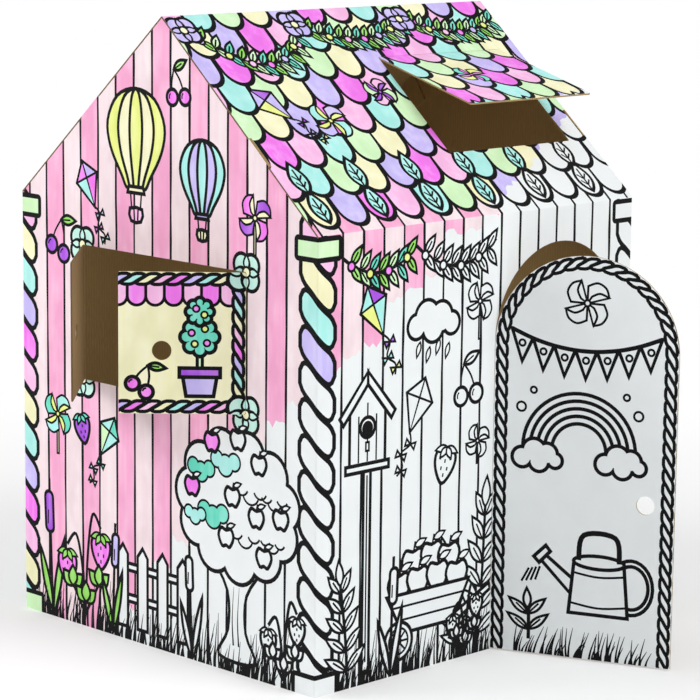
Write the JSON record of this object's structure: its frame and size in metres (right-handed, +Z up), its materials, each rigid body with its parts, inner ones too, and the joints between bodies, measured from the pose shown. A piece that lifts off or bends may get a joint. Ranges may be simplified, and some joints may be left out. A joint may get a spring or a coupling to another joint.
{
  "type": "cardboard playhouse",
  "caption": "Folded corrugated playhouse with a gable roof, an arched door, window shutters and a roof hatch that swing on creases.",
  "frame": {"origin": "on the floor, at the middle of the door wall's foot, in the middle of its board", "axes": "+X along the ridge from the window gable to the plain gable, +Y from the door wall to the rear wall, +Z up"},
  "size_m": [1.0358, 1.1794, 1.219],
  "materials": {
    "board": "white printed outside over brown corrugated board"
  },
  "bodies": {
    "house": {"house": "board"},
    "door": {"door": "board"},
    "left_shutter": {"left_shutter": "board"},
    "right_shutter": {"right_shutter": "board"},
    "roof_hatch": {"roof_hatch": "board"}
  },
  "joints": [
    {"name": "door_crease", "type": "hinge", "parent": "house", "child": "door", "pos_m": [0.0373, -0.0019, 0.003], "axis": [0, 0, -1], "range_deg": [-67, 103]},
    {"name": "left_shutter_crease", "type": "hinge", "parent": "house", "child": "left_shutter", "pos_m": [-0.4353, 0.6556, 0.5], "axis": [0, 0, -1], "range_deg": [-45, 125]},
    {"name": "right_shutter_crease", "type": "hinge", "parent": "house", "child": "right_shutter", "pos_m": [-0.4353, 0.1862, 0.5], "axis": [0, 0, 1], "range_deg": [-45, 125]},
    {"name": "roof_hatch_crease", "type": "hinge", "parent": "house", "child": "roof_hatch", "pos_m": [0.2055, 0.31544, 1.12854], "axis": [-1, 0, 0], "range_deg": [-25, 125]}
  ]
}
